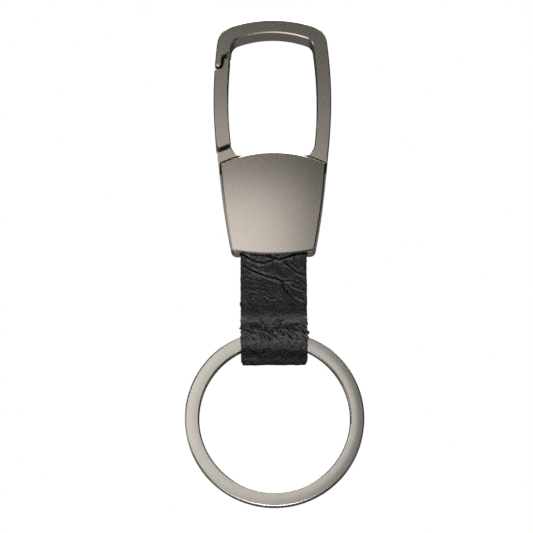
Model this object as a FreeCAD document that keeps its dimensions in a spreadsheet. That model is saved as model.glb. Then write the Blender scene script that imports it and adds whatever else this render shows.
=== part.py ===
import FreeCAD, Part
import math
import os

import Sketcher
from FreeCAD import Placement, Rotation, Vector

# Carabiner keyring. X is the width, Y the thickness with the front facing -Y, and Z the length, up.
# The origin is the saddle of the hook: the inside top of the loop, at half its thickness, where the
# keyring hangs. "drop" sizes are distances below the origin. Millimetres and degrees throughout.

TOUCHING = 1e-6     # closer than this counts as the same place
NEAR = 0.01         # looser, for picking out an edge by a place on it

SIZES = {
    # loop of the die-cast frame
    "loop_thickness": 5.8,
    "crown_radius": 26.0,       # top bar
    "crown_half_span": 10.61,   # where the crown arc would meet the side arc
    "crown_end_rise": 0.457,
    "side_radius": 90.0,
    "hip_half_width": 11.197,   # end of the side arc, start of the straight taper
    "hip_drop": 23.0,
    "waist_half_width": 10.348,
    "waist_drop": 31.0,
    "foot_radius": 145.0,       # taper curves in to the foot
    "foot_half_width": 8.176,
    "foot_drop": 44.95,
    "shoulder_fillet": 4.3,
    "foot_fillet": 1.2,
    # opening inside the loop
    "window_crown_radius": 20.0,
    "window_half_span": 8.025,
    "window_shoulder_drop": 1.681,
    "window_side_radius": 87.13,
    "window_hip_half_width": 8.31,
    "window_floor_half_width": 7.96,
    "window_floor_drop": 26.05,
    "window_floor_radius": 24.15,
    "window_top_fillet": 2.0,
    "window_floor_fillet": 2.3,
    # edge treatment of the casting
    "front_chamfer": 0.22,
    "rear_rounding": 0.8,
    # nose of the hook, on the left
    "nose_root_x": 7.5,
    "nose_root_drop": 3.55,
    "nose_step_x": 10.02,
    "nose_step_drop": 4.87,
    "nose_side_x": 10.22,
    "nose_side_drop": 6.55,
    "nose_tip_x": 10.55,
    "nose_tip_drop": 6.95,
    "nose_tip_radius": 0.7,
    "nose_end_x": 11.15,
    "nose_end_drop": 6.80,
    # hinge stub, on the left
    "stub_outer_drop": 24.62,
    "stub_knee_x": 10.3,
    "stub_knee_drop": 24.50,
    "stub_slope_x": 7.0,
    "stub_slope_drop": 23.12,
    "outside_x": 14.0,          # well clear of the casting
    # lip at the back of the nose, which closes the upright part of the gap behind the gate's tip
    "lip_outer_x": 10.3,
    "lip_inner_x": 9.3,
    "lip_top_drop": 4.4,
    "lip_foot_drop": 6.7,
    "lip_thickness": 1.2,
    "lip_clearance": 0.1,
    # gate and its hinge
    "gate_proud": 0.08,
    "gate_top_x": 8.44,
    "gate_top_drop": 4.98,
    "gate_step_x": 9.66,
    "gate_step_drop": 5.42,
    "gate_seat_x": 9.93,
    "gate_seat_drop": 7.08,
    "gate_ledge_x": 10.25,
    "gate_ledge_drop": 7.30,
    "gate_outer_drop": 7.60,
    "gate_outer_top_x": 11.505,
    "gate_outer_foot_x": 11.25,
    "gate_foot_drop": 23.42,
    "gate_knee_x": 10.68,
    "gate_knee_drop": 23.90,
    "gate_inner_foot_x": 8.31,
    "gate_inner_foot_drop": 22.95,
    "gate_chamfer": 0.20,
    "pivot_x": 9.2,
    "pivot_drop": 25.3,
    "eye_radius": 1.15,
    "neck_inner_x": 8.5,
    "neck_outer_x": 10.4,
    "neck_top_drop": 22.4,
    "tongue_front_depth": 1.5,   # from the front face of the loop to the tongue
    "tongue_thickness": 1.5,
    "slot_front_depth": 1.4,
    "slot_width": 2.6,
    "slot_radius": 1.45,
    "slot_inner_x": 5.6,
    "pin_radius": 0.5,
    "pin_length": 4.9,
    "pin_rear_sink": 0.05,
    "ear_clearance": 0.01,
    "eye_clearance": 0.05,
    # return spring
    "spring_wire_radius": 0.125,
    "spring_coil_radius": 0.85,
    "spring_pitch": 0.3,
    "spring_coiled_length": 0.6,
    "spring_front_depth": 3.22,
    "spring_gate_leg": 2.0,
    "spring_frame_leg": 0.9,
    "spring_bend_radius": 0.14,
    # seat of the front cover
    "seat_depth": 0.75,
    "seat_half_width": 10.55,
    "seat_corner_drop": 27.01,
    "seat_radius": 24.15,
    "seat_bottom_drop": 50.0,
    "seat_edge_band": 0.8,      # edges this near the step are left sharp
    # front cover
    "cover_proud": 0.6,         # at the top of its crown
    "cover_crown_radius": 200.0,
    "cover_crown_drop": 35.2,
    "cover_half_width": 10.40,
    "cover_corner_drop": 27.12,
    "cover_top_radius": 24.15,
    "cover_waist_half_width": 10.06,
    "cover_side_radius": 144.8,
    "cover_foot_half_width": 7.98,
    "cover_foot_drop": 44.68,
    "cover_foot_radius": 41.0,
    "cover_corner_fillet": 0.4,
    "cover_chamfer": 0.22,
    # strap pocket, bosses and screws
    "pocket_half_width": 6.7,
    "pocket_top_drop": 30.6,
    "pocket_depth": 3.3,
    "boss_offset": 3.6,
    "boss_drop": 35.2,
    "boss_radius": 1.6,
    "boss_clearance": 0.05,
    "screw_radius": 0.8,
    "screw_length": 3.6,
    "screw_hole_radius": 0.9,
    "screw_bore_clearance": 0.02,
    "screw_head_radius": 1.45,
    "screw_head_height": 0.7,
    "screw_sink": 0.05,
    "driver_slot_width": 0.35,
    "driver_slot_depth": 0.3,
    "driver_slot_reach": 1.74,  # half length, past the rim of the head
    # strap
    "strap_width": 13.0,
    "strap_setback": 0.2,       # strap's middle plane, in front of the loop's
    "ply": 1.25,
    "ply_gap": 0.1,
    "tail_top_drop": 31.0,
    "tail_foot_drop": 44.4,
    "tail_hole_radius": 1.75,
    "mouth_hinge_drop": 46.2,
    "neck_hinge_drop": 56.4,
    "loop_top_drop": 57.87,
    "loop_shoulder_drop": 60.0,
    "parting_drop": 58.7,       # where the two plies part above the ring's wire
    "parting_half_gap": 0.5,
    "fold_bottom_drop": 67.0,
    "fold_gap": 2.9,
    # split ring
    "ring_drop": 77.85,
    "ring_radius": 17.5,
    "ring_wire_width": 2.8,
    "ring_coil_thickness": 1.13,
    "ring_level": 0.615,        # middle of each coil from the ring's middle plane
    "ring_wire_rounding": 0.3,
    "ring_crown_radius": 16.0,   # the ring's front and back are slightly domed
    "ring_crossing_angle": 18.0,
    "ring_end_gap_angle": 3.0,
}

doc = FreeCAD.newDocument("carabiner_keyring")
sheet = doc.addObject("Spreadsheet::Sheet", "Sizes")
for row, (alias, number) in enumerate(SIZES.items(), start=1):
    sheet.set(f"A{row}", alias)
    sheet.set(f"B{row}", str(number))
    sheet.setAlias(f"B{row}", alias)
doc.recompute()


class Size:
    """A sheet value, or a sum or product of them, with the expression that follows the sheet."""

    def __init__(self, text, value):
        self.text = text
        self.value = value

    def __add__(self, other):
        other = as_size(other)
        return Size(f"({self.text} + {other.text})", self.value + other.value)

    def __sub__(self, other):
        other = as_size(other)
        return Size(f"({self.text} - {other.text})", self.value - other.value)

    def __mul__(self, other):
        other = as_size(other)
        return Size(f"{self.text} * {other.text}", self.value * other.value)

    def __neg__(self):
        return self * -1


def as_size(quantity):
    return quantity if isinstance(quantity, Size) else Size(str(quantity), quantity)


def size(alias):
    return Size(f"Sizes.{alias}", SIZES[alias])


def bind(target, properties):
    for name, quantity in properties.items():
        target.setExpression(name, as_size(quantity).text)


def new_body(label):
    body = doc.addObject("PartDesign::Body", label)
    body.Label = label
    return body


def new_sketch(body, name, role="XZ_Plane", offset=0):
    """A sketch on one of its body's origin planes, moved along the plane's normal by offset."""
    plane = [p for p in body.Origin.OriginFeatures if p.Role == role][0]
    sketch = body.newObject("Sketcher::SketchObject", name)
    sketch.AttachmentSupport = (plane, [""])
    sketch.MapMode = "FlatFace"
    bind(sketch, {".AttachmentOffset.Base.z": offset})
    return sketch


def constrain(sketch, kind, *items):
    """Add a driving constraint whose last item is a Size, and tie it to the sheet."""
    *where, quantity = items
    index = sketch.addConstraint(Sketcher.Constraint(kind, *where, quantity.value))
    sketch.setExpression(f"Constraints[{index}]", quantity.text)


def arc_between(start, end, radius, bulge):
    """The minor arc from start to end. bulge 1 curves to the left of the way from start to end."""
    chord = end - start
    across = Vector(-chord.y, chord.x, 0).normalize()
    reach = max(radius * radius - chord.Length * chord.Length / 4, 0) ** 0.5
    centre = (start + end) * 0.5 - across * (bulge * reach)
    middle = centre + across * (bulge * radius)
    return Part.Arc(start, middle, end)


def add_outline(sketch, corners):
    """Draw a closed outline. Each corner is (x, y) before a straight edge, or (x, y, radius, bulge)
    before an arc. Every corner and radius is tied to the sheet. A half circle, whose ends are level,
    has its centre tied to their level instead, because its ends already give its radius."""
    places = [Vector(corner[0].value, corner[1].value, 0) for corner in corners]
    first = len(sketch.Geometry)
    ends = []
    for number, corner in enumerate(corners):
        start, end = places[number], places[(number + 1) % len(places)]
        if len(corner) == 2:
            sketch.addGeometry(Part.LineSegment(start, end), False)
            ends.append((1, 2))
        else:
            sketch.addGeometry(arc_between(start, end, corner[2].value, corner[3]), False)
            ends.append((1, 2) if corner[3] < 0 else (2, 1))
    for number, corner in enumerate(corners):
        edge, point = first + number, ends[number][0]
        before = (number - 1) % len(corners)
        joint = Sketcher.Constraint("Coincident", first + before, ends[before][1], edge, point)
        sketch.addConstraint(joint)
        constrain(sketch, "DistanceX", edge, point, corner[0])
        constrain(sketch, "DistanceY", edge, point, corner[1])
        if len(corner) == 4:
            span = places[number].distanceToPoint(places[(number + 1) % len(places)])
            if abs(span - 2 * corner[2].value) < TOUCHING:
                constrain(sketch, "DistanceY", edge, 3, corner[1])
            else:
                constrain(sketch, "Radius", edge, corner[2])
    return sketch


def add_circle(sketch, x, y, radius):
    centre = Vector(x.value, y.value, 0)
    edge = sketch.addGeometry(Part.Circle(centre, Vector(0, 0, 1), radius.value), False)
    constrain(sketch, "DistanceX", edge, 3, x)
    constrain(sketch, "DistanceY", edge, 3, y)
    constrain(sketch, "Radius", edge, radius)
    return sketch


def mirrored(corners):
    """Complete a left-right symmetric outline from its right half, listed from top to bottom. The
    bulge of an arc belongs to the corner before it, so the left half takes it from the next one."""
    right = list(corners)
    left = []
    for number in range(len(corners) - 1, -1, -1):
        x, y = corners[number][0], corners[number][1]
        edge_before = corners[number - 1][2:] if number > 0 else ()
        left.append((-x, y, *edge_before))
    return right + left


def pad(body, name, sketch, length, both_ways=False, rearward=False):
    """Thicken the sketch towards -Y, towards +Y if rearward, or half each way."""
    feature = body.newObject("PartDesign::Pad", name)
    feature.Profile = sketch
    feature.Midplane = both_ways
    feature.Reversed = rearward
    bind(feature, {"Length": length})
    doc.recompute()
    return feature


def pocket(body, name, sketch, depth, rearward=True):
    """Cut from the sketch towards +Y, or towards -Y. Raises if nothing is cut."""
    before = body.Shape.Volume
    feature = body.newObject("PartDesign::Pocket", name)
    feature.Profile = sketch
    feature.Reversed = not rearward
    bind(feature, {"Length": depth})
    doc.recompute()
    if not body.Shape.Volume < before:
        raise RuntimeError(f"{name} cuts nothing")
    return feature


def dress(body, kind, name, quantity, chosen):
    """Fillet or chamfer the edges of the body's tip that chosen(edge) accepts."""
    base = body.Tip
    edges = [f"Edge{n}" for n, edge in enumerate(base.Shape.Edges, start=1) if chosen(edge)]
    if not edges:
        raise RuntimeError(f"{name} finds no edge")
    feature = body.newObject(f"PartDesign::{kind}", name)
    feature.Base = (base, edges)
    bind(feature, {"Radius" if kind == "Fillet" else "Size": quantity})
    doc.recompute()
    return feature


def middle_of(edge):
    return edge.valueAt((edge.FirstParameter + edge.LastParameter) / 2)


def upright_at(*places):
    """Accept edges that run along Y through one of the (x, z) places."""
    def chosen(edge):
        first, last = edge.Vertexes[0].Point, edge.Vertexes[-1].Point
        slant = abs(first.x - last.x) + abs(first.z - last.z)
        along_y = slant < TOUCHING < abs(first.y - last.y)
        return along_y and any(abs(abs(first.x) - x) + abs(first.z - z) < NEAR for x, z in places)
    return chosen


def in_plane(y, extra=lambda middle: True):
    """Accept edges that lie in the plane at this Y and whose middle passes the extra test."""
    def chosen(edge):
        middle = middle_of(edge)
        points = [vertex.Point for vertex in edge.Vertexes] + [middle]
        return all(abs(point.y - y) < TOUCHING for point in points) and extra(middle)
    return chosen


def on_ball(centre):
    """Accept edges that lie on the ball that crowns the cover."""
    def chosen(edge):
        points = [vertex.Point for vertex in edge.Vertexes] + [middle_of(edge)]
        away = [abs((point - centre).Length - SIZES["cover_crown_radius"]) for point in points]
        return max(away) < TOUCHING
    return chosen


half_thickness = size("loop_thickness") * 0.5
FRONT = -half_thickness.value
REAR = half_thickness.value


def make_hook_frame():
    body = new_body("hook_frame")
    outline = new_sketch(body, "frame_outline")
    add_outline(outline, mirrored([
        (size("crown_half_span"), size("crown_end_rise"), size("side_radius"), 1),
        (size("hip_half_width"), -size("hip_drop")),
        (size("waist_half_width"), -size("waist_drop"), size("foot_radius"), 1),
        (size("foot_half_width"), -size("foot_drop")),
    ])[:-1] + [(-size("crown_half_span"), size("crown_end_rise"), size("crown_radius"), 1)])
    add_outline(outline, mirrored([
        (size("window_half_span"), -size("window_shoulder_drop"), size("window_side_radius"), 1),
        (size("window_hip_half_width"), -size("hip_drop")),
        (size("window_floor_half_width"), -size("window_floor_drop"),
         size("window_floor_radius"), -1),
    ])[:-1] + [(-size("window_half_span"), -size("window_shoulder_drop"),
                size("window_crown_radius"), 1)])
    pad(body, "frame_casting", outline, size("loop_thickness"), both_ways=True)

    corner = {
        "shoulder_fillet": ("crown_half_span", SIZES["crown_end_rise"]),
        "foot_fillet": ("foot_half_width", -SIZES["foot_drop"]),
        "window_top_fillet": ("window_half_span", -SIZES["window_shoulder_drop"]),
        "window_floor_fillet": ("window_floor_half_width", -SIZES["window_floor_drop"]),
    }
    for radius, (x, z) in corner.items():
        dress(body, "Fillet", f"{radius}s", size(radius), upright_at((SIZES[x], z)))

    foot = -SIZES["foot_drop"]
    dress(body, "Fillet", "rear_rounding_all_round", size("rear_rounding"),
          in_plane(REAR, lambda middle: abs(middle.z - foot) < NEAR))

    # the gap between the nose and the hinge stub, which the gate fills
    gap = new_sketch(body, "gate_gap_outline", offset=half_thickness)
    add_outline(gap, [
        (-size("nose_root_x"), -size("nose_root_drop")),
        (-size("nose_step_x"), -size("nose_step_drop")),
        (-size("nose_side_x"), -size("nose_side_drop"), size("nose_tip_radius"), -1),
        (-size("nose_tip_x"), -size("nose_tip_drop")),
        (-size("nose_end_x"), -size("nose_end_drop")),
        (-size("outside_x"), -size("nose_step_drop")),
        (-size("outside_x"), -size("stub_outer_drop")),
        (-size("stub_knee_x"), -size("stub_knee_drop")),
        (-size("stub_slope_x"), -size("stub_slope_drop")),
    ])
    pocket(body, "gate_gap", gap, size("loop_thickness"))
    lip = new_sketch(body, "nose_lip_outline", offset=-half_thickness)
    add_outline(lip, [
        (-size("lip_outer_x"), -size("lip_top_drop")),
        (-size("lip_inner_x"), -size("lip_top_drop")),
        (-size("lip_inner_x"), -size("lip_foot_drop")),
        (-size("lip_outer_x"), -size("lip_foot_drop")),
    ])
    pad(body, "nose_lip", lip, size("lip_thickness"))

    # step in the front face that takes the cover
    seat = new_sketch(body, "cover_seat_outline", offset=half_thickness)
    add_outline(seat, [
        (-size("seat_half_width"), -size("seat_corner_drop"), size("seat_radius"), 1),
        (size("seat_half_width"), -size("seat_corner_drop")),
        (size("seat_half_width"), -size("seat_bottom_drop")),
        (-size("seat_half_width"), -size("seat_bottom_drop")),
    ])
    pocket(body, "cover_seat", seat, size("seat_depth"))

    # pocket for the strap's ends, open at the front and at the foot
    strap_room = new_sketch(body, "strap_pocket_outline", offset=half_thickness - size("seat_depth"))
    add_outline(strap_room, [
        (-size("pocket_half_width"), -size("pocket_top_drop")),
        (size("pocket_half_width"), -size("pocket_top_drop")),
        (size("pocket_half_width"), -size("seat_bottom_drop")),
        (-size("pocket_half_width"), -size("seat_bottom_drop")),
    ])
    pocket(body, "strap_pocket", strap_room, size("pocket_depth"))

    # slot between the ears of the hinge stub
    slot = new_sketch(body, "hinge_slot_outline", offset=half_thickness - size("slot_front_depth"))
    add_outline(slot, [
        (-size("outside_x"), -size("pivot_drop")),
        (-size("outside_x"), -size("hip_drop")),
        (-size("slot_inner_x"), -size("hip_drop")),
        (-size("slot_inner_x"), -size("pivot_drop")),
    ])
    pocket(body, "hinge_slot", slot, size("slot_width"))
    slot_floor = new_sketch(body, "slot_floor_outline",
                            offset=half_thickness - size("slot_front_depth"))
    add_circle(slot_floor, -size("pivot_x"), -size("pivot_drop"), size("slot_radius"))
    pocket(body, "slot_floor", slot_floor, size("slot_width"))

    pin_hole = new_sketch(body, "pin_hole_outline", offset=-half_thickness)
    add_circle(pin_hole, -size("pivot_x"), -size("pivot_drop"),
               size("pin_radius") + size("ear_clearance"))
    pocket(body, "pin_hole", pin_hole, size("pin_length") + size("pin_rear_sink"), rearward=False)

    for side, name in ((-1, "left"), (1, "right")):
        shank = new_sketch(body, f"{name}_screw_hole_outline", offset=-half_thickness)
        add_circle(shank, size("boss_offset") * side, -size("boss_drop"), size("screw_hole_radius"))
        pocket(body, f"{name}_screw_hole", shank, size("pocket_depth"), rearward=False)
        head = new_sketch(body, f"{name}_head_sink_outline", offset=-half_thickness)
        add_circle(head, size("boss_offset") * side, -size("boss_drop"),
                   size("screw_head_radius") + size("boss_clearance"))
        pocket(body, f"{name}_head_sink", head,
               size("screw_head_height") + size("screw_sink"), rearward=False)

    # the cover hides the step's own edges, so only the loop's edges are chamfered
    band = SIZES["seat_edge_band"]
    seat_centre = Vector(0, FRONT, -SIZES["cover_corner_drop"] - SIZES["seat_radius"])

    def on_loop_front(middle):
        above = middle.z > band - SIZES["seat_corner_drop"]
        return above and (middle - seat_centre).Length > SIZES["seat_radius"] + band

    dress(body, "Chamfer", "front_edges", size("front_chamfer"), in_plane(FRONT, on_loop_front))
    return body


def make_front_cover():
    """Shield-shaped plate with two bosses that pass through the strap and take the screws."""
    body = new_body("front_cover")
    floor = half_thickness - size("seat_depth")
    shield = new_sketch(body, "shield_outline", offset=floor)
    add_outline(shield, mirrored([
        (size("cover_half_width"), -size("cover_corner_drop")),
        (size("cover_waist_half_width"), -size("waist_drop"), size("cover_side_radius"), 1),
        (size("cover_foot_half_width"), -size("cover_foot_drop"), size("cover_foot_radius"), 1),
    ])[:-1] + [(-size("cover_half_width"), -size("cover_corner_drop"),
                size("cover_top_radius"), 1)])
    pad(body, "shield", shield, size("seat_depth") + size("cover_proud"))
    corners = [(SIZES["cover_half_width"], -SIZES["cover_corner_drop"]),
               (SIZES["cover_foot_half_width"], -SIZES["cover_foot_drop"])]
    dress(body, "Fillet", "shield_corners", size("cover_corner_fillet"), upright_at(*corners))

    # the face is crowned: the plate keeps only what lies inside a large ball
    ball = new_body("crown_form")
    sphere = ball.newObject("PartDesign::AdditiveSphere", "crown_ball")
    bind(sphere, {"Radius": size("cover_crown_radius")})
    ball_depth = size("cover_crown_radius") - half_thickness - size("cover_proud")
    bind(ball, {".Placement.Base.y": ball_depth, ".Placement.Base.z": -size("cover_crown_drop")})
    crowned = body.newObject("PartDesign::Boolean", "crowned_face")
    crowned.Type = "Common"
    crowned.setObjects([ball])
    doc.recompute()
    dress(body, "Chamfer", "shield_bevel", size("cover_chamfer"),
          on_ball(Vector(0, ball_depth.value, -SIZES["cover_crown_drop"])))

    boss_length = size("pocket_depth") - size("boss_clearance")
    for side, name in ((-1, "left"), (1, "right")):
        across = size("boss_offset") * side
        boss = new_sketch(body, f"{name}_boss_outline", offset=floor)
        add_circle(boss, across, -size("boss_drop"), size("boss_radius"))
        pad(body, f"{name}_boss", boss, boss_length, rearward=True)
        bore = new_sketch(body, f"{name}_screw_bore_outline", offset=floor - boss_length)
        add_circle(bore, across, -size("boss_drop"),
                   size("screw_radius") + size("screw_bore_clearance"))
        pocket(body, f"{name}_screw_bore", bore, size("screw_length"), rearward=False)
    return body


def make_cover_screws():
    """Two identical cheese-head screws, driven from the back."""
    body = new_body("cover_screws")
    body.AllowCompound = True
    head_back = half_thickness - size("screw_sink")
    under_head = head_back - size("screw_head_height")
    parts = (("shanks", "screw_radius", "screw_length"),
             ("heads", "screw_head_radius", "screw_head_height"))
    for name, radius, length in parts:
        sketch = new_sketch(body, f"{name}_outline", offset=-under_head)
        for side in (-1, 1):
            add_circle(sketch, size("boss_offset") * side, -size("boss_drop"), size(radius))
        pad(body, name, sketch, size(length), rearward=name == "heads")
    slots = new_sketch(body, "driver_slots_outline", offset=-head_back)
    half = size("driver_slot_width") * 0.5
    reach = size("driver_slot_reach")
    for side in (-1, 1):
        middle = size("boss_offset") * side
        add_outline(slots, [
            (middle - half, -size("boss_drop") - reach),
            (middle + half, -size("boss_drop") - reach),
            (middle + half, -size("boss_drop") + reach),
            (middle - half, -size("boss_drop") + reach),
        ])
    pocket(body, "driver_slots", slots, size("driver_slot_depth"), rearward=False)
    return body


def make_gate():
    """Left bar of the loop, with a step that closes behind the nose and a tongue for the pin."""
    body = new_body("gate")
    outline = new_sketch(body, "gate_outline")
    add_outline(outline, [
        (-size("gate_top_x"), -size("gate_top_drop"), size("window_side_radius"), -1),
        (-size("gate_inner_foot_x"), -size("gate_inner_foot_drop")),
        (-size("gate_knee_x"), -size("gate_knee_drop")),
        (-size("gate_outer_foot_x"), -size("gate_foot_drop"),
         size("side_radius") + size("gate_proud"), 1),
        (-size("gate_outer_top_x"), -size("gate_outer_drop")),
        (-size("gate_ledge_x"), -size("gate_ledge_drop")),
        (-size("gate_seat_x"), -size("gate_seat_drop")),
        (-size("gate_step_x"), -size("gate_step_drop")),
    ])
    pad(body, "gate_bar", outline, size("loop_thickness"), both_ways=True)
    dress(body, "Chamfer", "gate_front_edges", size("gate_chamfer"), in_plane(FRONT))
    outer_side = -SIZES["gate_outer_foot_x"]
    dress(body, "Fillet", "gate_rear_rounding", size("rear_rounding"),
          in_plane(REAR, lambda middle: middle.x < outer_side))

    rebate = new_sketch(body, "lip_rebate_outline", offset=-half_thickness)
    inner = size("lip_inner_x") - size("lip_clearance")
    foot = size("lip_foot_drop") + size("lip_clearance")
    add_outline(rebate, [
        (-size("outside_x"), -size("lip_top_drop")),
        (-inner, -size("lip_top_drop")),
        (-inner, -foot),
        (-size("outside_x"), -foot),
    ])
    pocket(body, "lip_rebate", rebate, size("lip_thickness") + size("lip_clearance"),
           rearward=False)

    tongue = new_sketch(body, "tongue_outline",
                        offset=half_thickness - size("tongue_front_depth"))
    eye_inner = -(size("pivot_x") - size("eye_radius"))
    eye_outer = -(size("pivot_x") + size("eye_radius"))
    add_outline(tongue, [
        (-size("neck_inner_x"), -size("neck_top_drop")),
        (eye_inner, -size("pivot_drop"), size("eye_radius"), 1),
        (eye_outer, -size("pivot_drop")),
        (-size("neck_outer_x"), -size("neck_top_drop")),
    ])
    pad(body, "tongue", tongue, size("tongue_thickness"), rearward=True)
    eye = new_sketch(body, "eye_outline", offset=half_thickness - size("tongue_front_depth"))
    add_circle(eye, -size("pivot_x"), -size("pivot_drop"),
               size("pin_radius") + size("eye_clearance"))
    pocket(body, "eye", eye, size("tongue_thickness"))
    return body


ALONG_Y = Rotation(Vector(1, 0, 0), -90)


def make_gate_hinge_pin():
    pin = doc.addObject("Part::Cylinder", "gate_hinge_pin")
    pin.Label = "gate_hinge_pin"
    pin.Placement = Placement(Vector(0, 0, 0), ALONG_Y)
    bind(pin, {
        "Radius": size("pin_radius"),
        "Height": size("pin_length"),
        ".Placement.Base.x": -size("pivot_x"),
        ".Placement.Base.y": half_thickness - size("pin_rear_sink") - size("pin_length"),
        ".Placement.Base.z": -size("pivot_drop"),
    })
    return pin


def make_gate_spring():
    """Torsion spring round the pin: one leg up beside the gate's tongue, one down to the stub."""
    wire_radius = sheet.spring_wire_radius
    coil_radius = sheet.spring_coil_radius
    coiled = sheet.spring_coiled_length
    helix = Part.makeLongHelix(sheet.spring_pitch, coiled, coil_radius)
    start = Vector(coil_radius, 0, 0)
    rise = sheet.spring_pitch / (2 * math.pi * coil_radius)
    section = Part.Wire(Part.makeCircle(wire_radius, start, Vector(0, 1, rise)))
    coil = Part.Wire(helix.Edges).makePipeShell([section], True, True)
    legs = ((start, Vector(0, -1, 0), sheet.spring_gate_leg),
            (start + Vector(0, 0, coiled), Vector(0, 1, 0), sheet.spring_frame_leg))
    for root, direction, length in legs:
        bend = Part.makeSphere(sheet.spring_bend_radius, root)
        leg = Part.makeCylinder(wire_radius, length, root, direction)
        coil = coil.fuse([bend, leg])
    spring = doc.addObject("Part::Feature", "gate_spring")
    spring.Label = "gate_spring"
    spring.Shape = coil
    front = sheet.spring_front_depth - sheet.loop_thickness / 2
    pivot = Vector(-sheet.pivot_x, front, -sheet.pivot_drop)
    spring.Placement = Placement(pivot, ALONG_Y)
    return spring


STRAP_MIDDLE = -size("strap_setback")


def across_strap(body, name, corners):
    """Draw a closed (y, z) outline on the plane across the strap's width."""
    return add_outline(new_sketch(body, name, role="YZ_Plane"), corners)


def make_strap_tails():
    """The strap's two ends, flat on each other inside the body, with the bosses' holes."""
    body = new_body("strap_tails")
    half = size("ply") + size("ply_gap") * 0.5
    side = across_strap(body, "tails_section", [
        (STRAP_MIDDLE - half, -size("tail_top_drop")),
        (STRAP_MIDDLE + half, -size("tail_top_drop")),
        (STRAP_MIDDLE + half, -size("tail_foot_drop")),
        (STRAP_MIDDLE - half, -size("tail_foot_drop")),
    ])
    pad(body, "tails", side, size("strap_width"), both_ways=True)
    for direction, name in ((-1, "left"), (1, "right")):
        hole = new_sketch(body, f"{name}_boss_hole_outline", offset=half_thickness)
        add_circle(hole, size("boss_offset") * direction, -size("boss_drop"),
                   size("tail_hole_radius"))
        pocket(body, f"{name}_boss_hole", hole, size("loop_thickness"))
    return body


def make_strap_web():
    """The strap between the body's mouth and the neck of the fold. Its round ends turn in place."""
    body = new_body("strap_web")
    half = size("ply") + size("ply_gap") * 0.5
    side = across_strap(body, "web_section", [
        (STRAP_MIDDLE + half, -size("mouth_hinge_drop")),
        (STRAP_MIDDLE + half, -size("neck_hinge_drop"), half, 1),
        (STRAP_MIDDLE - half, -size("neck_hinge_drop")),
        (STRAP_MIDDLE - half, -size("mouth_hinge_drop"), half, 1),
    ])
    pad(body, "web", side, size("strap_width"), both_ways=True)
    return body


def make_strap_loop():
    """The fold of the strap round the ring's wire: a closed loop, open across its width."""
    body = new_body("strap_loop")
    web_half = size("ply") + size("ply_gap") * 0.5
    inner_half = size("fold_gap") * 0.5
    outer_half = inner_half + size("ply")
    bend_drop = size("fold_bottom_drop") - outer_half
    section = across_strap(body, "loop_section", [
        (STRAP_MIDDLE + web_half, -size("loop_top_drop")),
        (STRAP_MIDDLE + outer_half, -size("loop_shoulder_drop")),
        (STRAP_MIDDLE + outer_half, -bend_drop, outer_half, 1),
        (STRAP_MIDDLE - outer_half, -bend_drop),
        (STRAP_MIDDLE - outer_half, -size("loop_shoulder_drop")),
        (STRAP_MIDDLE - web_half, -size("loop_top_drop")),
    ])
    add_outline(section, [
        (STRAP_MIDDLE + size("parting_half_gap"), -size("parting_drop")),
        (STRAP_MIDDLE + inner_half, -size("loop_shoulder_drop")),
        (STRAP_MIDDLE + inner_half, -bend_drop, inner_half, 1),
        (STRAP_MIDDLE - inner_half, -bend_drop),
        (STRAP_MIDDLE - inner_half, -size("loop_shoulder_drop")),
        (STRAP_MIDDLE - size("parting_half_gap"), -size("parting_drop")),
    ])
    pad(body, "loop", section, size("strap_width"), both_ways=True)
    return body


def add_wire_section(body, name, turn, level, crowned_side):
    """Rounded rectangle of the ring's flat wire, turned about the ring's axis, at a coil's level.
    Its face away from the other coil is domed: crowned_side -1 is the front one, 1 the back one."""
    sketch = new_sketch(body, name, role="XY_Plane")
    sketch.AttachmentOffset = Placement(Vector(0, 0, 0), Rotation(Vector(0, 1, 0), turn))
    rounding = size("ring_wire_rounding")
    outer = size("ring_radius")
    inner = outer - size("ring_wire_width")
    half = size("ring_coil_thickness") * 0.5
    dome = (size("ring_crown_radius"), 1)
    add_outline(sketch, [
        (inner + rounding, level + half, *(dome if crowned_side > 0 else ())),
        (outer - rounding, level + half, rounding, 1),
        (outer, level + half - rounding),
        (outer, level - half + rounding, rounding, 1),
        (outer - rounding, level - half, *(dome if crowned_side < 0 else ())),
        (inner + rounding, level - half, rounding, 1),
        (inner, level - half + rounding),
        (inner, level + half - rounding, rounding, 1),
    ])
    return sketch


def make_split_ring():
    """Two coils of flat wire, side by side, joined where the wire crosses from front to back."""
    body = new_body("split_ring")
    crossing = SIZES["ring_crossing_angle"]
    gap = SIZES["ring_end_gap_angle"]
    coil_angle = as_size(360) - size("ring_crossing_angle") - size("ring_end_gap_angle")
    level = size("ring_level")
    for name, turn, coil_level, side in (("front", 0, -level, -1), ("rear", -gap, level, 1)):
        coil = body.newObject("PartDesign::Revolution", f"{name}_coil")
        coil.Profile = add_wire_section(body, f"{name}_coil_section", turn, coil_level, side)
        coil.ReferenceAxis = (coil.Profile[0], ["V_Axis"])
        bind(coil, {"Angle": coil_angle})
        doc.recompute()
    ends = [add_wire_section(body, f"crossing_section_{number}", turn - gap, section_level, 0)
            for number, turn, section_level in (
                (1, -crossing, -level), (2, -crossing / 2, level * 0), (3, 0, level))]
    ramp = body.newObject("PartDesign::AdditiveLoft", "crossing")
    ramp.Profile = ends[0]
    ramp.Sections = ends[1:]
    doc.recompute()
    quarter_turn_up = 270 - (360 - gap - crossing / 2)
    body.Placement = Placement(Vector(0, 0, 0), Rotation(Vector(0, 1, 0), quarter_turn_up))
    bind(body, {".Placement.Base.y": STRAP_MIDDLE, ".Placement.Base.z": -size("ring_drop")})
    return body


PIECES = [
    make_hook_frame(),
    make_front_cover(),
    make_cover_screws(),
    make_gate(),
    make_gate_hinge_pin(),
    make_gate_spring(),
    make_strap_tails(),
    make_strap_web(),
    make_strap_loop(),
    make_split_ring(),
]


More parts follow.
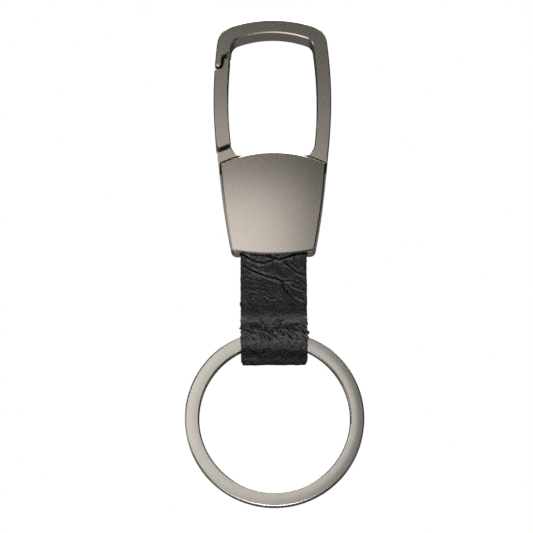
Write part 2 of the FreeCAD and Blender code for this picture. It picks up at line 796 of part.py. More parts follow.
def write_pieces():
    for feature in doc.Objects:
        if {"Invalid", "Error"} & set(feature.State):
            raise RuntimeError(f"{feature.Name} failed: {feature.State}")
    os.makedirs("parts", exist_ok=True)
    for piece in PIECES:
        shape = piece.Shape
        if shape.isNull() or not shape.isValid():
            raise RuntimeError(f"{piece.Label} has no valid shape")
        shape.exportStep(f"parts/{piece.Label}.step")
        box = shape.BoundBox
        print(f"{piece.Label}: {len(shape.Solids)} solid(s), {shape.Volume:.2f} mm3, "
              f"{box.XLength:.2f} x {box.YLength:.2f} x {box.ZLength:.2f}")


doc.recompute()
write_pieces()
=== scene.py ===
import math

import bpy
import numpy as np
from mathutils import Matrix, Vector, noise


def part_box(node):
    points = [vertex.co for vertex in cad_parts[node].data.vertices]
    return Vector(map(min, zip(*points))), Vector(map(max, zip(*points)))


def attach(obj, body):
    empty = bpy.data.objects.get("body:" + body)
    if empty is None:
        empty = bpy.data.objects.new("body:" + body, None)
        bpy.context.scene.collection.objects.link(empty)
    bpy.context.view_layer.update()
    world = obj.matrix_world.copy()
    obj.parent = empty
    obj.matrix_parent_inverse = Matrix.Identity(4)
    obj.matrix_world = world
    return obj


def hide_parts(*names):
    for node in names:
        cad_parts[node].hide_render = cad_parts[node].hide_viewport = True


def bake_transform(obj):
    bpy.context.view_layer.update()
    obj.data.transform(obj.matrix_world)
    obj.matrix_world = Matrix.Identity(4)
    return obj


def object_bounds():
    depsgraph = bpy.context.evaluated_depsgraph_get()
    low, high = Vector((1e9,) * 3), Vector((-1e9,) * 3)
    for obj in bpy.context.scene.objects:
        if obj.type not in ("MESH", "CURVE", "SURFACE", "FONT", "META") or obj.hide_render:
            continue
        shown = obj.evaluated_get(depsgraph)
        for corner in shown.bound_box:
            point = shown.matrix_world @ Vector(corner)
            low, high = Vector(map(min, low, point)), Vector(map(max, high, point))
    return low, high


bl_info = {
    "name": "Carabiner Keyring",
    "version": (1, 0, 0),
    "blender": (4, 5, 0),
    "location": "3D View > Sidebar > Keyring",
    "description": "Cast carabiner with a leather strap folded round a flat split ring",
    "category": "Add Mesh",
}

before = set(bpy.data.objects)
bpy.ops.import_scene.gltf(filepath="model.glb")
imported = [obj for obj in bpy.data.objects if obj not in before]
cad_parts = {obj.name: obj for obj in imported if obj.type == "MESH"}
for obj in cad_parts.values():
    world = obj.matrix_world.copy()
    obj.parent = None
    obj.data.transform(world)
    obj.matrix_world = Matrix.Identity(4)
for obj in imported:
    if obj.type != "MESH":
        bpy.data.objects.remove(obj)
CAD_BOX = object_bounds()
WEB_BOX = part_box("strap_web")
LOOP_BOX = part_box("strap_loop")
TAILS_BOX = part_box("strap_tails")
RING_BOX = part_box("split_ring")
SCREW_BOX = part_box("cover_screws")

MM = 0.001
STRAP_MIDDLE = (WEB_BOX[0].y + WEB_BOX[1].y) / 2       # the strap's middle plane
SEAM_LEVEL = (WEB_BOX[0].z + WEB_BOX[1].z) / 2         # where the pieces of the strap meet
HALF_WEB = (WEB_BOX[1].y - WEB_BOX[0].y) / 2
WIRE_TOP = RING_BOX[1].z
STRIP_SPACING = 0.16              # mm between the points of the strap's mesh
SMOOTH_ANGLE = math.radians(50)   # edges sharper than this stay sharp
EDGE_BAND = 0.9                   # mm: how far in from a cut edge the edge wanders
CORNER_RISE = 1.1                 # mm: height over which the fold's corners are drawn in
PUCKER_LEVEL = -10.2              # mm down the strap from the seam: where it bends over the wire
SCREW_HEAD_RADIUS = 1.45 * MM
BOSS_HOLE_RADIUS = 1.75 * MM


# Sizes and colours ---------------------------------------------------------------------------

class KeyringSizes(bpy.types.PropertyGroup):
    strap_width: bpy.props.FloatProperty(
        name="Strap width", description="Across the leather strap",
        default=WEB_BOX[1].x - WEB_BOX[0].x, unit="LENGTH")
    leather_thickness: bpy.props.FloatProperty(
        name="Leather", description="Thickness of the strap's leather",
        default=1.15 * MM, unit="LENGTH")
    crease_depth: bpy.props.FloatProperty(
        name="Creases", description="Depth of the deepest creases in the leather",
        default=0.27 * MM, unit="LENGTH")
    edge_wear: bpy.props.FloatProperty(
        name="Ragged edge", description="How far the strap's cut edges wander",
        default=0.09 * MM, unit="LENGTH")
    fold_bulge: bpy.props.FloatProperty(
        name="Fold depth", description="Front of the fold, from the strap's middle plane",
        default=STRAP_MIDDLE - LOOP_BOX[0].y, unit="LENGTH")
    floor_drop: bpy.props.FloatProperty(
        name="Floor", description="Level of the studio floor below the hook",
        default=0.30, unit="LENGTH")


class KeyringColours(bpy.types.PropertyGroup):
    gunmetal: bpy.props.StringProperty(
        name="Gunmetal", description="Plating of the casting, as sRGB hex", default="#cdc4b9")
    nickel: bpy.props.StringProperty(
        name="Nickel", description="Split ring, pin and screws, as sRGB hex", default="#cbc5bc")
    spring: bpy.props.StringProperty(
        name="Spring", description="Spring wire, as sRGB hex", default="#8d8c8a")
    leather: bpy.props.StringProperty(
        name="Leather", description="Dyed grain side of the strap, as sRGB hex", default="#08090b")
    leather_worn: bpy.props.StringProperty(
        name="Worn leather", description="Rubbed ridges of the grain, as sRGB hex",
        default="#1c1e22")
    floor: bpy.props.StringProperty(
        name="Floor", description="Studio floor, as sRGB hex", default="#ecebe8")


def sizes():
    return bpy.context.scene.keyring_sizes


def colours():
    return bpy.context.scene.keyring_colours


def linear(code):
    """An sRGB hex colour as the linear red, green, blue and alpha that shaders take."""
    parts = [int(code[i:i + 2], 16) / 255 for i in (1, 3, 5)]
    return [c / 12.92 if c <= 0.04045 else ((c + 0.055) / 1.055) ** 2.4 for c in parts] + [1.0]


# Materials -----------------------------------------------------------------------------------

def add_node(tree, kind, settings=None, **inputs):
    """Add a node. Settings are its properties; inputs are values, or sockets to link from, under
    the input's name, or an underscore and its number."""
    node = tree.nodes.new(kind)
    for name, value in (settings or {}).items():
        setattr(node, name, value)
    for name, value in inputs.items():
        numbered = name[1:].isdigit()
        socket = node.inputs[int(name[1:]) if numbered else name.replace("_", " ")]
        if isinstance(value, bpy.types.NodeSocket):
            tree.links.new(value, socket)
        else:
            socket.default_value = value
    return node


def new_material(name):
    """An empty material with its tree, its shader and its output."""
    material = bpy.data.materials.new(name)
    material.use_nodes = True
    tree = material.node_tree
    tree.nodes.clear()
    shader = add_node(tree, "ShaderNodeBsdfPrincipled")
    add_node(tree, "ShaderNodeOutputMaterial", Surface=shader.outputs["BSDF"])
    return material, tree, shader


def set_ramp(node, *stops):
    """Give a colour ramp its stops, each a position and a linear colour."""
    elements = node.color_ramp.elements
    while len(elements) < len(stops):
        elements.new(0.5)
    for element, (position, colour) in zip(elements, stops):
        element.position = position
        element.color = colour


def grey(level):
    return [level, level, level, 1.0]


def shaded(colour, share):
    """A linear colour darkened to a share of itself."""
    return [c * share for c in colour[:3]] + [1.0]


def spread(tree, value, low, high):
    """The value from 0 to 1 spread from low to high."""
    node = add_node(tree, "ShaderNodeMapRange", Value=value, To_Min=low, To_Max=high)
    return node.outputs["Result"]


def brushed_gunmetal():
    """Gunmetal-plated zinc, brushed along the length of the hook: a soft warm-grey metal with very
    faint upright hairlines, a slight cloudiness in the plating and painted shade in its gaps."""
    material, tree, shader = new_material("brushed_gunmetal_plated_zinc")
    where = add_node(tree, "ShaderNodeTexCoord").outputs["Object"]
    # hairlines are really about 0.03 mm wide; drawn 0.15 mm wide and 8 mm long so that they show
    lines_place = add_node(tree, "ShaderNodeMapping", Vector=where, Scale=(6600, 6600, 120))
    lines = add_node(tree, "ShaderNodeTexNoise", Vector=lines_place.outputs[0], Scale=1.0,
                     Detail=3.0, Roughness=0.65)
    # clouds in the plating, about 5 mm across
    clouds = add_node(tree, "ShaderNodeTexNoise", Vector=where, Scale=200.0, Detail=2.0)
    tint = add_node(tree, "ShaderNodeMix", {"data_type": "RGBA"}, Factor=clouds.outputs["Fac"])
    base = linear(colours().gunmetal)
    tint.inputs[6].default_value = shaded(base, 0.93)
    tint.inputs[7].default_value = base
    streak = add_node(tree, "ShaderNodeMix", {"data_type": "RGBA", "blend_type": "MULTIPLY"},
                      Factor=0.03)
    tree.links.new(tint.outputs[2], streak.inputs[6])
    fade = add_node(tree, "ShaderNodeValToRGB", Fac=lines.outputs["Fac"])
    set_ramp(fade, (0.3, grey(0.55)), (0.7, grey(1.0)))
    tree.links.new(fade.outputs["Color"], streak.inputs[7])
    # painted shade: the base colour darkened by ambient occlusion in the gaps and along the
    # cover's step, within 1.2 mm of a wall
    gap_occlusion = add_node(tree, "ShaderNodeAmbientOcclusion", {"samples": 16}, Distance=1.2 * MM)
    painted_gap_shade = add_node(tree, "ShaderNodeValToRGB", Fac=gap_occlusion.outputs["AO"])
    set_ramp(painted_gap_shade, (0.30, grey(0.02)), (0.80, grey(1.0)))
    base_with_gap_shade = add_node(tree, "ShaderNodeMix", {"data_type": "RGBA", "blend_type": "MULTIPLY"},
                     Factor=1.0)
    tree.links.new(streak.outputs[2], base_with_gap_shade.inputs[6])
    tree.links.new(painted_gap_shade.outputs["Color"], base_with_gap_shade.inputs[7])
    tree.links.new(base_with_gap_shade.outputs[2], shader.inputs["Base Color"])
    tree.links.new(spread(tree, lines.outputs["Fac"], 0.25, 0.29), shader.inputs["Roughness"])
    bump = add_node(tree, "ShaderNodeBump", Height=lines.outputs["Fac"], Strength=0.005,
                    Distance=0.00002)
    tree.links.new(bump.outputs["Normal"], shader.inputs["Normal"])
    shader.inputs["Metallic"].default_value = 1.0
    return material


def satin_nickel_steel():
    """Nickel-plated spring steel, tumbled to a satin: as pale as the hook and a little less warm,
    with a fine even haze and faint clouds where it has rubbed."""
    material, tree, shader = new_material("satin_nickel_plated_steel")
    where = add_node(tree, "ShaderNodeTexCoord").outputs["Object"]
    # tumbling haze, really under 0.05 mm; drawn 0.3 mm so that it shows
    haze = add_node(tree, "ShaderNodeTexNoise", Vector=where, Scale=3300.0, Detail=2.0)
    # rubbing clouds, about 4 mm across
    rubs = add_node(tree, "ShaderNodeTexNoise", Vector=where, Scale=250.0, Detail=3.0)
    tint = add_node(tree, "ShaderNodeMix", {"data_type": "RGBA"}, Factor=rubs.outputs["Fac"])
    base = linear(colours().nickel)
    tint.inputs[6].default_value = shaded(base, 0.9)
    tint.inputs[7].default_value = base
    tree.links.new(tint.outputs[2], shader.inputs["Base Color"])
    tree.links.new(spread(tree, haze.outputs["Fac"], 0.25, 0.29), shader.inputs["Roughness"])
    shader.inputs["Metallic"].default_value = 1.0
    return material


def drawn_spring_steel():
    """Drawn spring wire, left bare: a dark grey metal with a fine uneven drawn tone."""
    material, tree, shader = new_material("drawn_spring_steel")
    where = add_node(tree, "ShaderNodeTexCoord").outputs["Object"]
    # drawing marks about 0.1 mm apart
    lines = add_node(tree, "ShaderNodeTexNoise", Vector=where, Scale=10000.0, Detail=2.0)
    tone = add_node(tree, "ShaderNodeValToRGB", Fac=lines.outputs["Fac"])
    base = linear(colours().spring)
    set_ramp(tone, (0.35, shaded(base, 0.7)), (0.65, base))
    tree.links.new(tone.outputs["Color"], shader.inputs["Base Color"])
    shader.inputs["Metallic"].default_value = 1.0
    shader.inputs["Roughness"].default_value = 0.35
    return material


def grained_leather():
    """Full-grain cowhide, dyed black and lightly waxed: near-black with a slightly cold cast, a
    pebbled and finely wrinkled grain, and a gloss that is higher where the dye has rubbed."""
    material, tree, shader = new_material("grained_black_leather")
    cut = add_node(tree, "ShaderNodeUVMap", {"uv_map": "UVMap"}).outputs["UV"]
    # waver, so that no grain cell is regular
    waver = add_node(tree, "ShaderNodeTexNoise", Vector=cut, Scale=900.0, Detail=3.0)
    shifted = add_node(tree, "ShaderNodeVectorMath", {"operation": "MULTIPLY_ADD"},
                       _0=waver.outputs["Color"], _1=(0.0009, 0.0009, 0.0009), _2=cut)
    # grain pebbles about 0.35 mm across
    cells = add_node(tree, "ShaderNodeTexVoronoi", {"feature": "SMOOTH_F1"},
                     Vector=shifted.outputs[0], Scale=2800.0, Smoothness=0.6)
    # wrinkled patches of grain, about 1 mm across
    wrinkles = add_node(tree, "ShaderNodeTexNoise", {"noise_type": "RIDGED_MULTIFRACTAL"},
                        Vector=shifted.outputs[0], Scale=650.0, Detail=4.0, Roughness=0.6)
    # pores, 0.12 mm
    pores = add_node(tree, "ShaderNodeTexNoise", Vector=cut, Scale=8000.0, Detail=2.0)
    grain = add_node(tree, "ShaderNodeMath", {"operation": "MULTIPLY_ADD"},
                     _0=cells.outputs["Distance"], _1=-0.8, _2=wrinkles.outputs["Fac"])
    relief = add_node(tree, "ShaderNodeMath", {"operation": "MULTIPLY_ADD"},
                      _0=pores.outputs["Fac"], _1=0.5, _2=grain.outputs[0])
    bump = add_node(tree, "ShaderNodeBump", Height=relief.outputs[0], Strength=1.0,
                    Distance=0.00011)
    tree.links.new(bump.outputs["Normal"], shader.inputs["Normal"])
    # patches where the dye has rubbed, about 3 mm across
    rubbed = add_node(tree, "ShaderNodeTexNoise", Vector=cut, Scale=330.0, Detail=4.0,
                      Roughness=0.65)
    worn = add_node(tree, "ShaderNodeMath", {"operation": "MULTIPLY_ADD"},
                    _0=grain.outputs[0], _1=0.22, _2=rubbed.outputs["Fac"])
    colour = add_node(tree, "ShaderNodeValToRGB", Fac=worn.outputs[0])
    dyed = linear(colours().leather)
    set_ramp(colour, (0.25, shaded(dyed, 0.5)), (0.6, dyed),
             (1.0, linear(colours().leather_worn)))
    tree.links.new(colour.outputs["Color"], shader.inputs["Base Color"])
    tree.links.new(spread(tree, worn.outputs[0], 0.32, 0.16), shader.inputs["Roughness"])
    shader.inputs["Specular IOR Level"].default_value = 0.6
    shader.inputs["Specular Tint"].default_value = linear("#eff5fb")
    return material


def dress_node(name, material):
    """Give a CAD node its finish, leaving its mesh as it is."""
    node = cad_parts[name]
    for slot in node.material_slots:
        slot.material = material


# Modelling helpers ---------------------------------------------------------------------------

def start_fresh():
    """Object mode with nothing selected, before a new primitive is added."""
    if bpy.context.object and bpy.context.object.mode != "OBJECT":
        bpy.ops.object.mode_set(mode="OBJECT")
    bpy.ops.object.select_all(action="DESELECT")


def apply_modifier(piece, kind, **settings):
    """Add a modifier with these settings and apply it."""
    bpy.context.view_layer.objects.active = piece
    modifier = piece.modifiers.new(kind, kind)
    for name, value in settings.items():
        setattr(modifier, name, value)
    bpy.ops.object.modifier_apply(modifier=modifier.name)


def place_in_mesh(piece):
    """Put a piece's place into its mesh, so that its object sits at the origin."""
    bpy.context.view_layer.objects.active = piece
    bpy.ops.object.transform_apply(location=True, rotation=True, scale=True)


def smooth_path(points):
    """Points about STRIP_SPACING apart along the smooth line through the given (y, z) points, in
    mm, with their distance along it."""
    knots = [np.array(p, float) for p in points]
    knots = [2 * knots[0] - knots[1]] + knots + [2 * knots[-1] - knots[-2]]
    fine = []
    for a, b, c, d in zip(knots, knots[1:], knots[2:], knots[3:]):
        for t in np.linspace(0, 1, 40, endpoint=False):
            fine.append(0.5 * (2 * b + (c - a) * t + (2 * a - 5 * b + 4 * c - d) * t ** 2
                               + (3 * b - a - 3 * c + d) * t ** 3))
    fine = np.array(fine + [knots[-2]])
    along = np.concatenate([[0], np.cumsum(np.linalg.norm(np.diff(fine, axis=0), axis=1))])
    count = int(round(along[-1] / STRIP_SPACING)) + 1
    even = np.linspace(0, along[-1], count)
    return np.column_stack([np.interp(even, along, fine[:, i]) for i in (0, 1)]), even


def distance_to_line(x, v, line):
    """Signed distance of each (x, v) from a broken line, and how far along it the nearest point
    is, from 0 to 1. Positive is to the left of the way the line runs."""
    best = np.full(x.shape, 1e9)
    side = np.zeros(x.shape)
    reach = np.zeros(x.shape)
    count = len(line) - 1
    for number, ((x0, v0), (x1, v1)) in enumerate(zip(line, line[1:])):
        dx, dv = x1 - x0, v1 - v0
        t = np.clip(((x - x0) * dx + (v - v0) * dv) / (dx * dx + dv * dv), 0, 1)
        away = np.hypot(x - x0 - t * dx, v - v0 - t * dv)
        nearer = away < best
        best = np.where(nearer, away, best)
        side = np.where(nearer, np.sign(dx * (v - v0) - dv * (x - x0)), side)
        reach = np.where(nearer, (number + t) / count, reach)
    return best * side, reach


# Creases of the strap's front: the line, as x across the strap and v up it from the seam, in mm;
# then the depth, as a share of the deepest crease, and the width, in mm.
FRONT_CREASES = (
    ([(-6.3, 5.9), (-5.0, 5.1), (-3.6, 4.4), (-2.0, 4.1), (-0.4, 4.6), (0.4, 5.2)], 1.0, 0.24),
    ([(-0.8, 5.5), (0.3, 5.0), (1.2, 4.8), (2.3, 5.2), (3.8, 5.6), (5.6, 6.1)], 0.8, 0.22),
    ([(-6.3, 3.9), (-4.6, 2.8), (-3.0, 2.0), (-1.3, 1.4), (0.2, 1.0), (1.6, 0.5)], 0.9, 0.22),
    ([(1.4, 0.7), (2.6, 0.55), (4.2, 0.6)], 0.5, 0.15),
    ([(0.2, 1.5), (1.6, 0.2), (2.9, -1.6), (4.2, -3.0), (5.7, -3.8)], 0.8, 0.2),
    ([(2.0, 4.3), (3.4, 3.2), (4.4, 2.3), (5.8, 1.8)], 0.6, 0.18),
    ([(3.0, -0.4), (4.4, -1.2), (5.9, -1.7)], 0.5, 0.15),
    ([(-5.6, 1.6), (-4.4, 0.9), (-3.6, 1.0)], 0.5, 0.16),
    ([(-5.0, -1.5), (-3.4, -1.7)], 0.5, 0.14),
    ([(-6.2, -3.4), (-4.9, -4.6), (-4.0, -6.1)], 0.4, 0.2),
    ([(-1.8, -2.6), (-0.6, -3.4), (0.9, -3.2)], 0.4, 0.16),
    ([(-2.8, -5.0), (-1.2, -6.2), (0.9, -6.6)], 0.5, 0.2),
    ([(-0.9, -9.9), (0.9, -8.9), (2.4, -8.2)], 0.8, 0.18),
    ([(-2.7, -9.9), (-1.1, -9.0), (0.3, -8.9)], 0.6, 0.16),
    ([(0.4, -7.4), (1.7, -8.4), (2.6, -8.9), (3.6, -10.3)], 0.7, 0.17),
    ([(-4.9, -8.6), (-4.2, -9.6), (-3.6, -10.2)], 0.6, 0.17),
    ([(-3.9, -8.2), (-3.0, -9.3)], 0.5, 0.14),
    ([(3.6, -8.7), (4.4, -9.5), (5.4, -9.0)], 0.6, 0.16),
)


def leather_relief(x, v):
    """Height of the leather's surface, in mm: listed creases with a raised lip on the front,
    soft crumples all over, and short slanting puckers where the leather bends over the wire."""
    deepest = sizes().crease_depth / MM
    height = np.zeros(x.shape)
    for line, depth, width in FRONT_CREASES:
        away, reach = distance_to_line(x, v, line)
        fade = np.sqrt(np.clip(4.2 * reach * (1 - reach), 0, 1)) * 0.85 + 0.15
        valley = np.exp(-(away / width) ** 2)
        ridge = np.exp(-((away - 1.9 * width) / (1.3 * width)) ** 2)
        height += deepest * depth * fade * (0.75 * ridge - valley)
    for i in range(len(x)):
        place = Vector((x[i], v[i], 0.0))
        soft = noise.noise(place / 2.6)
        small = noise.noise(place / 0.8 + Vector((7, 3, 1)))
        bend = math.exp(-((v[i] - PUCKER_LEVEL) / 2.6) ** 2)
        slant = 1 - 2.4 * abs(noise.noise(Vector(((x[i] + v[i] * 0.8) / 0.85,
                                                  (v[i] - x[i] * 0.5) / 2.1, 5.0))))
        height[i] += deepest * (0.28 * soft + 0.16 * small + (0.08 + 0.55 * bend) * slant)
    return height


def make_strip(name, points, start, direction=1, drawn_in=0.0):
    """One run of the strap: its outer surface follows the (y, z) points, in mm, start is the
    distance up the strap at the first point, direction is the way that distance runs, and drawn_in
    is how much the edges close in at the lowest part. Also gives the outward way there."""
    width = sizes().strap_width / MM
    path, along = smooth_path(points)
    across = np.unique(np.concatenate([
        np.linspace(-width / 2 + 0.35, width / 2 - 0.35, int(width / STRIP_SPACING)),
        [-width / 2, width / 2]]))
    start_fresh()
    bpy.ops.mesh.primitive_grid_add(x_subdivisions=len(across) - 1,
                                    y_subdivisions=len(path) - 1, size=1.0)
    piece = bpy.context.object
    piece.name = piece.data.name = name
    flat = np.zeros(len(piece.data.vertices) * 3)
    piece.data.vertices.foreach_get("co", flat)
    flat = flat.reshape(-1, 3)
    column = np.rint((flat[:, 0] + 0.5) * (len(across) - 1)).astype(int)
    row = np.rint((flat[:, 1] + 0.5) * (len(path) - 1)).astype(int)
    x, v = across[column], start + direction * along[row]
    tangent = np.gradient(path, axis=0)
    tangent /= np.linalg.norm(tangent, axis=1)[:, None]
    outward = np.column_stack([tangent[:, 1], -tangent[:, 0]])
    relief = leather_relief(x, v)
    edge = np.clip((np.abs(x) - width / 2 + EDGE_BAND) / EDGE_BAND, 0, 1) ** 2
    wander = np.array([noise.noise(Vector((0.0, d / 0.7, 9.0 * s)))
                       + 0.6 * noise.noise(Vector((3.0, d / 0.28, 9.0 * s)))
                       for d, s in zip(v, np.sign(x))]) * sizes().edge_wear / MM
    # the edges are drawn in over the lowest part, which rounds a fold's corners
    low = np.clip(1 - (path[row, 1] - path[:, 1].min()) / CORNER_RISE, 0, 1) ** 2
    co = np.column_stack([
        x + edge * (wander - np.sign(x) * drawn_in * low),
        path[row, 0] + outward[row, 0] * relief,
        path[row, 1] + outward[row, 1] * relief,
    ]) * MM
    piece.data.vertices.foreach_set("co", co.ravel())
    uv = piece.data.uv_layers[0]
    uv.name = "UVMap"
    corner = np.zeros(len(piece.data.loops), int)
    piece.data.loops.foreach_get("vertex_index", corner)
    uv.data.foreach_set("uv", (np.column_stack([x, v])[corner] * MM).ravel())
    piece.data.update()
    bpy.ops.object.mode_set(mode="EDIT")
    bpy.ops.mesh.select_all(action="SELECT")
    bpy.ops.mesh.normals_make_consistent(inside=False)
    bpy.ops.object.mode_set(mode="OBJECT")
    return piece, outward[0]


def face_outwards(piece, outward):
    """Turn the sheet's faces so that the first row's normals point the way given."""
    mesh = piece.data
    first = mesh.polygons[0].normal
    if first.y * outward[0] + first.z * outward[1] < 0:
        bpy.ops.object.mode_set(mode="EDIT")
        bpy.ops.mesh.select_all(action="SELECT")
        bpy.ops.mesh.flip_normals()
        bpy.ops.object.mode_set(mode="OBJECT")


def finish_strip(piece, outward, material):
    """Give the sheet the leather's thickness, inwards, with rounded cut edges."""
    face_outwards(piece, outward)
    apply_modifier(piece, "SOLIDIFY", thickness=sizes().leather_thickness, offset=-1.0)
    apply_modifier(piece, "BEVEL", width=0.14 * MM, segments=2, limit_method="ANGLE",
                   angle_limit=SMOOTH_ANGLE)
    piece.data.materials.clear()
    piece.data.materials.append(material)
    bpy.ops.object.select_all(action="DESELECT")
    piece.select_set(True)
    bpy.context.view_layer.objects.active = piece
    bpy.ops.object.shade_smooth_by_angle(angle=SMOOTH_ANGLE)


# Operators -----------------------------------------------------------------------------------

class KEYRING_OT_stage(bpy.types.Operator):
    """Set up the camera, the floor and the studio light"""
    bl_idname = "keyring.stage"
    bl_label = "Studio"

    def execute(self, context):
        start_fresh()
        # the camera stands in front of the keyring and a little below it, with a long lens
        bpy.ops.object.camera_add(location=(-0.0014, -0.6122, -0.1887))
        camera = context.object
        camera.name = "camera"
        camera.data.lens = 215
        camera.data.sensor_width = 36
        camera.data.dof.use_dof = False
        camera.data.clip_start = 0.01
        camera.data.clip_end = 50
        aim = Vector((-0.0014, -0.0025, -0.0479)) - camera.location
        turn = aim.to_track_quat("-Z", "Y").to_matrix().to_3x3()
        lean = math.radians(-0.35)
        camera.rotation_euler = (turn @ roll(lean)).to_euler()
        context.scene.camera = camera
        context.scene.view_settings.view_transform = "Standard"

        bpy.ops.mesh.primitive_plane_add(size=8.0, location=(0, 0, -sizes().floor_drop))
        floor = context.object
        floor.name = "studio_floor"
        floor.data.materials.append(matte_floor())
        floor.visible_glossy = False

        add_light("front_softbox", (-0.072, -0.26, -0.012), (0.19, 0.12), 0.090)
        add_light("strip_light", (0.0, -0.25, -0.185), (0.06, 0.05), 0.22)
        add_light("low_softbox", (-0.06, -0.15, -0.26), (0.30, 0.18), 0.30)
        add_light("left_panel", (-0.40, -0.02, -0.08), (0.20, 0.16), 0.12)
        add_light("overhead", (0.0, 0.15, 0.70), (0.8, 0.8), 8.0)
        studio_sky(context.scene)
        return {"FINISHED"}


def roll(angle):
    """A turn about the camera's own line of sight."""
    return Matrix.Rotation(angle, 3, "Z")


def add_light(name, place, size, power):
    """A soft rectangular light, aimed at the middle of the keyring."""
    bpy.ops.object.light_add(type="AREA", location=place)
    light = bpy.context.object
    light.name = name
    light.data.shape = "RECTANGLE"
    light.data.size, light.data.size_y = size
    light.data.energy = power
    middle = (CAD_BOX[0] + CAD_BOX[1]) / 2
    light.rotation_euler = (middle - Vector(place)).to_track_quat("-Z", "Y").to_euler()
    light.visible_camera = False


def matte_floor():
    """Matt paper backdrop: pale, with the faintest mottle."""
    material, tree, shader = new_material("matt_backdrop_paper")
    where = add_node(tree, "ShaderNodeTexCoord").outputs["Object"]
    mottle = add_node(tree, "ShaderNodeTexNoise", Vector=where, Scale=12.0, Detail=3.0)
    tone = add_node(tree, "ShaderNodeValToRGB", Fac=mottle.outputs["Fac"])
    base = linear(colours().floor)
    set_ramp(tone, (0.3, shaded(base, 0.97)), (0.7, base))
    tree.links.new(tone.outputs["Color"], shader.inputs["Base Color"])
    shader.inputs["Roughness"].default_value = 0.9
    return material


def studio_sky(scene):
    """White to the camera, and to the object a dim room, with a pale band all round a little below
    the horizon and a paler ceiling."""
    world = bpy.data.worlds.new("studio")
    scene.world = world
    world.use_nodes = True
    tree = world.node_tree
    tree.nodes.clear()
    direction = add_node(tree, "ShaderNodeTexCoord").outputs["Generated"]
    axes = add_node(tree, "ShaderNodeSeparateXYZ", Vector=direction)
    height = add_node(tree, "ShaderNodeMapRange", Value=axes.outputs["Z"])
    height.inputs["From Min"].default_value = -1.0
    room = add_node(tree, "ShaderNodeValToRGB", Fac=height.outputs["Result"])
    set_ramp(room, (0.0, grey(0.01)), (0.22, grey(0.02)), (0.38, grey(0.22)), (0.50, grey(0.03)),
             (0.65, grey(0.03)), (1.0, grey(0.30)))
    seen = add_node(tree, "ShaderNodeLightPath")
    mix = add_node(tree, "ShaderNodeMix", {"data_type": "RGBA"},
                   Factor=seen.outputs["Is Camera Ray"])
    tree.links.new(room.outputs["Color"], mix.inputs[6])
    mix.inputs[7].default_value = grey(1.0)
    light = add_node(tree, "ShaderNodeBackground", Color=mix.outputs[2])
    add_node(tree, "ShaderNodeOutputWorld", Surface=light.outputs[0])


class KEYRING_OT_casting(bpy.types.Operator):
    """Finish the hook, its cover and its gate in brushed gunmetal plating"""
    bl_idname = "keyring.casting"
    bl_label = "Hook, cover and gate"

    def execute(self, context):
        metal = brushed_gunmetal()
        for name in ("hook_frame", "front_cover", "gate"):
            dress_node(name, metal)
        return {"FINISHED"}


class KEYRING_OT_fixings(bpy.types.Operator):
    """Finish the pin, the screws and the return spring"""
    bl_idname = "keyring.fixings"
    bl_label = "Pin, screws and spring"

    def execute(self, context):
        metal = satin_nickel_steel()
        for name in ("gate_hinge_pin", "cover_screws"):
            dress_node(name, metal)
        dress_node("gate_spring", drawn_spring_steel())
        return {"FINISHED"}


class KEYRING_OT_ring(bpy.types.Operator):
    """Finish the flat split ring in satin nickel"""
    bl_idname = "keyring.ring"
    bl_label = "Split ring"

    def execute(self, context):
        dress_node("split_ring", satin_nickel_steel())
        return {"FINISHED"}


class KEYRING_OT_strap(bpy.types.Operator):
    """Model the leather strap: its two ends in the body, its two plies and its fold"""
    bl_idname = "keyring.strap"
    bl_label = "Leather strap"

    def execute(self, context):
        leather = grained_leather()
        middle, seam = STRAP_MIDDLE / MM, SEAM_LEVEL / MM
        web = HALF_WEB / MM
        bulge = sizes().fold_bulge / MM
        bottom = LOOP_BOX[0].z / MM
        top = TAILS_BOX[0].z / MM + 0.1

        # down the front, over the ring's wire, sloping back under it, and up the back
        wire = WIRE_TOP / MM
        profile = [
            (-web, seam), (-web, seam - 2.2), (-web - 0.03, seam - 4.2), (-web - 0.4, seam - 6.2),
            (-bulge, wire + 1.0), (-bulge - 0.12, wire - 0.3), (0.12 - bulge, wire - 1.7),
            (0.5 - bulge, wire - 2.9), (1.35 - bulge, wire - 4.0), (2.8 - bulge, wire - 5.1),
            (4.0 - bulge, bottom + 0.5), (bulge - 0.75, bottom + 0.15),
            (bulge - 0.15, bottom + 0.75), (bulge, bottom + 1.9),
            (bulge - 0.05, wire - 2.6), (bulge - 0.25, wire - 0.3),
            (web + 0.5, seam - 6.6), (web + 0.04, seam - 4.4), (web, seam - 2.2), (web, seam),
        ]
        path = [(middle + across, level) for across, level in profile]
        fold, outward = make_strip("strap_fold_leather", path, 0.0, direction=-1, drawn_in=0.4)
        length = smooth_path(path)[1][-1]
        finish_strip(fold, outward, leather)
        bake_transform(fold)
        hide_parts("strap_loop")

        plies = (("strap_front_leather", middle - web, 0.0, 1),
                 ("strap_back_leather", middle + web, -length, -1))
        for name, depth, start, direction in plies:
            run = [(depth, seam), (depth, seam + 2.0), (depth, seam + 4.0), (depth, top)]
            ply = make_strip(name, run, start, direction=direction)[0]
            finish_strip(ply, (-1.0, 0.0) if depth < middle else (1.0, 0.0), leather)
            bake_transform(ply)
            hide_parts("strap_web")

        make_ends(leather)
        return {"FINISHED"}


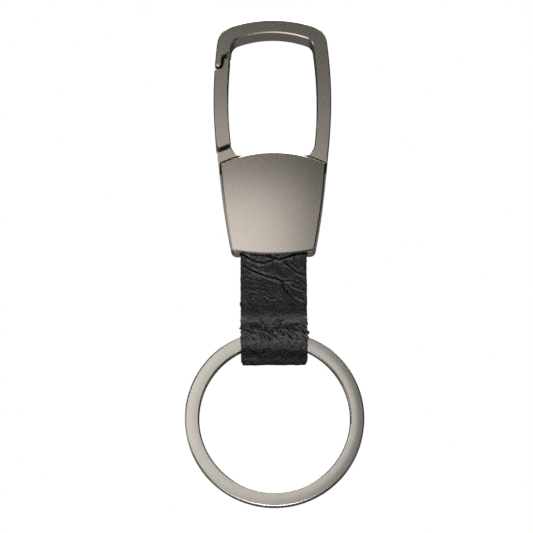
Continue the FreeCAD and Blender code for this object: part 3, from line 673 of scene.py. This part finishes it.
def make_ends(material):
    """The strap's two ends, flat in the body's pocket, each pierced for the cover's bosses."""
    low, high = TAILS_BOX
    thick = sizes().leather_thickness
    for name, depth in (("strap_front_end", low.y + thick / 2),
                        ("strap_back_end", high.y - thick / 2)):
        start_fresh()
        bpy.ops.mesh.primitive_cube_add(size=1.0, location=(0, depth, (low.z + high.z) / 2),
                                        scale=(high.x - low.x, thick, high.z - low.z))
        end = bpy.context.object
        end.name = end.data.name = name
        place_in_mesh(end)
        for side in (-1, 1):
            across = side * (SCREW_BOX[1].x - SCREW_HEAD_RADIUS)
            start_fresh()
            bpy.ops.mesh.primitive_cylinder_add(
                vertices=48, radius=BOSS_HOLE_RADIUS, depth=4 * MM,
                location=(across, depth, (SCREW_BOX[0].z + SCREW_BOX[1].z) / 2),
                rotation=(math.pi / 2, 0, 0))
            cutter = bpy.context.object
            apply_modifier(end, "BOOLEAN", operation="DIFFERENCE", object=cutter)
            bpy.data.objects.remove(cutter)
        apply_modifier(end, "BEVEL", width=0.12 * MM, segments=2, limit_method="ANGLE")
        end.data.materials.append(material)
        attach(end, "carabiner")
        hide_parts("strap_tails")


class KEYRING_PT_panel(bpy.types.Panel):
    """Lists the keyring's sizes, its colours and the steps that make it"""
    bl_idname = "KEYRING_PT_panel"
    bl_label = "Keyring"
    bl_space_type = "VIEW_3D"
    bl_region_type = "UI"
    bl_category = "Keyring"

    def draw(self, context):
        for group in (context.scene.keyring_sizes, context.scene.keyring_colours):
            for name in group.bl_rna.properties.keys():
                if name not in ("rna_type", "name"):
                    self.layout.prop(group, name)
        for step in STEPS:
            self.layout.operator(step.bl_idname)


STEPS = (KEYRING_OT_stage, KEYRING_OT_casting, KEYRING_OT_fixings, KEYRING_OT_strap,
         KEYRING_OT_ring)
CLASSES = (KeyringSizes, KeyringColours) + STEPS + (KEYRING_PT_panel,)


def register():
    for cls in CLASSES:
        bpy.utils.register_class(cls)
    bpy.types.Scene.keyring_sizes = bpy.props.PointerProperty(type=KeyringSizes)
    bpy.types.Scene.keyring_colours = bpy.props.PointerProperty(type=KeyringColours)


def unregister():
    del bpy.types.Scene.keyring_colours
    del bpy.types.Scene.keyring_sizes
    for cls in reversed(CLASSES):
        bpy.utils.unregister_class(cls)


def main():
    register()
    bpy.ops.keyring.stage()
    bpy.ops.keyring.casting()
    bpy.ops.keyring.fixings()
    bpy.ops.keyring.strap()
    bpy.ops.keyring.ring()


if __name__ == "__main__":
    main()
